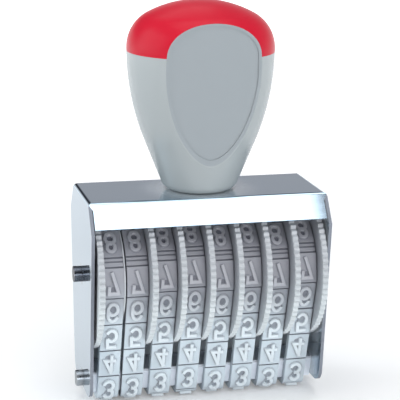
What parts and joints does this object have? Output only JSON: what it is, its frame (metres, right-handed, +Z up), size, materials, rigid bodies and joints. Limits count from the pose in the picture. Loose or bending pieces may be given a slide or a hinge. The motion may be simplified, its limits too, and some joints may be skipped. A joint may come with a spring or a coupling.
{
  "type": "hand numbering machine",
  "caption": "Hand numbering machine: beaded setting wheels carry rubber type bands round a bridge bar in a folded sheet frame, under an upright grip with a cap.",
  "frame": {"origin": "centre of the printing face, on the plane of the flat feet of the bands, midway between the cheeks", "axes": "+X along the row of wheels, +Z up towards the grip, -Y is the front with the setting wheels' readable side"},
  "size_m": [0.063, 0.0366, 0.098],
  "materials": {
    "polished_sheet": "polished",
    "rod_steel": "turned",
    "screw_steel": "bright",
    "bridge_metal": "satin",
    "wheel_plastic": "gloss",
    "band_rubber": "matte",
    "grip_grey": "satin",
    "cap_red": "gloss",
    "panel_grey": "satin",
    "insert_brass": "turned"
  },
  "bodies": {
    "frame": {"frame": "polished_sheet", "axle": "rod_steel", "axle_screws": "screw_steel", "axle_spacers": "wheel_plastic", "bridge": "bridge_metal", "bridge_screws": "screw_steel", "band_1": "band_rubber", "band_2": "band_rubber", "band_3": "band_rubber", "band_4": "band_rubber", "band_5": "band_rubber", "band_6": "band_rubber", "band_7": "band_rubber", "band_8": "band_rubber", "handle_body": "grip_grey", "handle_cap": "cap_red", "front_panel": "panel_grey", "rear_panel": "panel_grey", "handle_insert": "insert_brass", "handle_washer": "screw_steel", "handle_screw": "screw_steel"},
    "wheel_1": {"wheel_1": "wheel_plastic"},
    "wheel_2": {"wheel_2": "wheel_plastic"},
    "wheel_3": {"wheel_3": "wheel_plastic"},
    "wheel_4": {"wheel_4": "wheel_plastic"},
    "wheel_5": {"wheel_5": "wheel_plastic"},
    "wheel_6": {"wheel_6": "wheel_plastic"},
    "wheel_7": {"wheel_7": "wheel_plastic"},
    "wheel_8": {"wheel_8": "wheel_plastic"}
  },
  "joints": [
    {"name": "wheel_1_spin", "type": "hinge", "parent": "frame", "child": "wheel_1", "pos_m": [-0.02396, 0, 0.0315], "axis": [1, 0, 0], "continuous": true},
    {"name": "wheel_2_spin", "type": "hinge", "parent": "frame", "child": "wheel_2", "pos_m": [-0.01804, 0, 0.0315], "axis": [1, 0, 0], "continuous": true},
    {"name": "wheel_3_spin", "type": "hinge", "parent": "frame", "child": "wheel_3", "pos_m": [-0.01104, 0, 0.0315], "axis": [1, 0, 0], "continuous": true},
    {"name": "wheel_4_spin", "type": "hinge", "parent": "frame", "child": "wheel_4", "pos_m": [-0.00404, 0, 0.0315], "axis": [1, 0, 0], "continuous": true},
    {"name": "wheel_5_spin", "type": "hinge", "parent": "frame", "child": "wheel_5", "pos_m": [0.00296, 0, 0.0315], "axis": [1, 0, 0], "continuous": true},
    {"name": "wheel_6_spin", "type": "hinge", "parent": "frame", "child": "wheel_6", "pos_m": [0.00996, 0, 0.0315], "axis": [1, 0, 0], "continuous": true},
    {"name": "wheel_7_spin", "type": "hinge", "parent": "frame", "child": "wheel_7", "pos_m": [0.01696, 0, 0.0315], "axis": [1, 0, 0], "continuous": true},
    {"name": "wheel_8_spin", "type": "hinge", "parent": "frame", "child": "wheel_8", "pos_m": [0.02396, 0, 0.0315], "axis": [1, 0, 0], "continuous": true}
  ]
}
